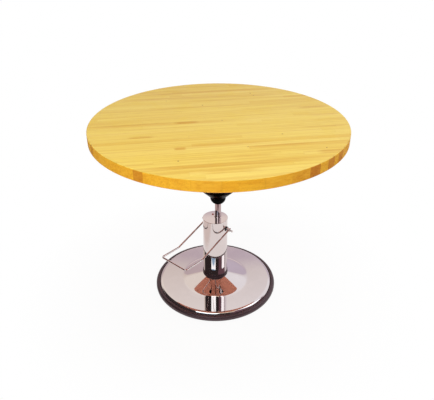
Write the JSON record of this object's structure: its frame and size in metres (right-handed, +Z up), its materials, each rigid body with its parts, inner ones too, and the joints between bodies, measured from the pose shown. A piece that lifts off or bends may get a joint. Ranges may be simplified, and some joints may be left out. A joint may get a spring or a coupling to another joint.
{
  "type": "telescoping pedestal table",
  "caption": "Round butcher-block table top on a hydraulic foot-pump pedestal: pump column in a round base with a rubber bumper, bent-rod foot pedal, rising ram and arms that carry the top.",
  "frame": {"origin": "on the floor, on the axis of the ram and of the round top", "axes": "+Z up along the ram; -Y towards the foot pedal; +X to the right as seen facing the pedal side"},
  "size_m": [1.0668, 1.0668, 0.824],
  "materials": {
    "wood_top": "satin lacquered butcher block",
    "black_iron": "satin black enamel on cast iron",
    "chrome": "mirror",
    "black_rubber": "satin moulded",
    "seal_rubber": "matte",
    "raw_iron": "as cast, machined seats",
    "steel": "ground",
    "zinc_steel": "zinc plated",
    "brass": "machined",
    "oil_screw": "brown-red lacquer"
  },
  "bodies": {
    "base": {"base_casting": "raw_iron", "base_bolts": "zinc_steel", "base_washers": "zinc_steel", "base_cover": "chrome", "bumper_ring": "black_rubber", "pump_body": "raw_iron", "column_sleeve": "chrome", "foot_collar": "black_rubber", "head_cap": "chrome", "filler_screw": "oil_screw", "gland_nut": "chrome", "wiper_ring": "seal_rubber", "guide_bush": "brass", "ram_cylinder": "steel", "pump_head": "raw_iron", "pivot_bushes": "brass", "stud_seals": "seal_rubber", "oil_tank": "steel", "tank_cover": "steel", "plunger_barrel": "steel", "inlet_cage": "brass", "outlet_plug": "steel", "return_spring": "steel", "release_spring": "steel", "inlet_spring": "steel", "outlet_spring": "steel"},
    "lift": {"piston": "raw_iron", "piston_cup": "seal_rubber", "piston_nut": "zinc_steel", "thrust_ball": "steel", "snap_ring": "steel"},
    "top": {"ram": "chrome", "ram_washer": "zinc_steel", "ram_nut": "zinc_steel", "spider_hub": "black_iron", "hub_set_screw": "steel", "spider_arm_right_back": "black_iron", "spider_arm_left_back": "black_iron", "spider_arm_left_front": "black_iron", "spider_arm_right_front": "black_iron", "arm_bolts": "zinc_steel", "top_screws": "zinc_steel", "top_inserts": "brass", "table_top": "wood_top"},
    "pedal": {"pedal_bail": "chrome", "pivot_stud_right": "chrome", "pivot_stud_left": "chrome", "clamp_screws": "chrome", "lever_yoke": "raw_iron", "yoke_pins": "steel"},
    "plunger": {"pump_plunger": "steel", "plunger_seal": "seal_rubber"},
    "release": {"release_rod": "steel"},
    "inlet_valve": {"inlet_ball": "steel"},
    "outlet_valve": {"outlet_ball": "steel"}
  },
  "joints": [
    {"name": "ram_lift", "type": "slide", "parent": "base", "child": "lift", "axis": [0, 0, 1], "range_m": [-0.06, 0.14]},
    {"name": "top_swivel", "type": "hinge", "parent": "lift", "child": "top", "pos_m": [0, 0, 0], "axis": [0, 0, 1], "continuous": true},
    {"name": "pedal_press", "type": "hinge", "parent": "base", "child": "pedal", "pos_m": [0, -0.0046, 0.3217], "axis": [1, 0, 0], "range_deg": [0, 26], "stiffness_Nm_per_rad": 8, "springref_deg": -17.19},
    {"name": "plunger_stroke", "type": "slide", "parent": "base", "child": "plunger", "axis": [0, 0, -1], "range_m": [0, 0.0199], "deforming": ["return_spring"]},
    {"name": "release_press", "type": "slide", "parent": "base", "child": "release", "axis": [0, 0, -1], "range_m": [0, 0.003], "stiffness_N_per_m": 1500, "springref_m": -0.004, "deforming": ["release_spring"]},
    {"name": "inlet_lift", "type": "slide", "parent": "base", "child": "inlet_valve", "axis": [0, 0, 1], "range_m": [0, 0.0015], "stiffness_N_per_m": 150, "springref_m": -0.002, "deforming": ["inlet_spring"]},
    {"name": "outlet_open", "type": "slide", "parent": "base", "child": "outlet_valve", "axis": [0, 0, -1], "range_m": [0, 0.0015], "stiffness_N_per_m": 150, "springref_m": -0.002, "deforming": ["outlet_spring"]}
  ],
  "couplings": [
    {"joint": "plunger_stroke", "follows": "pedal_press", "m_per_rad": 0.043623}
  ]
}
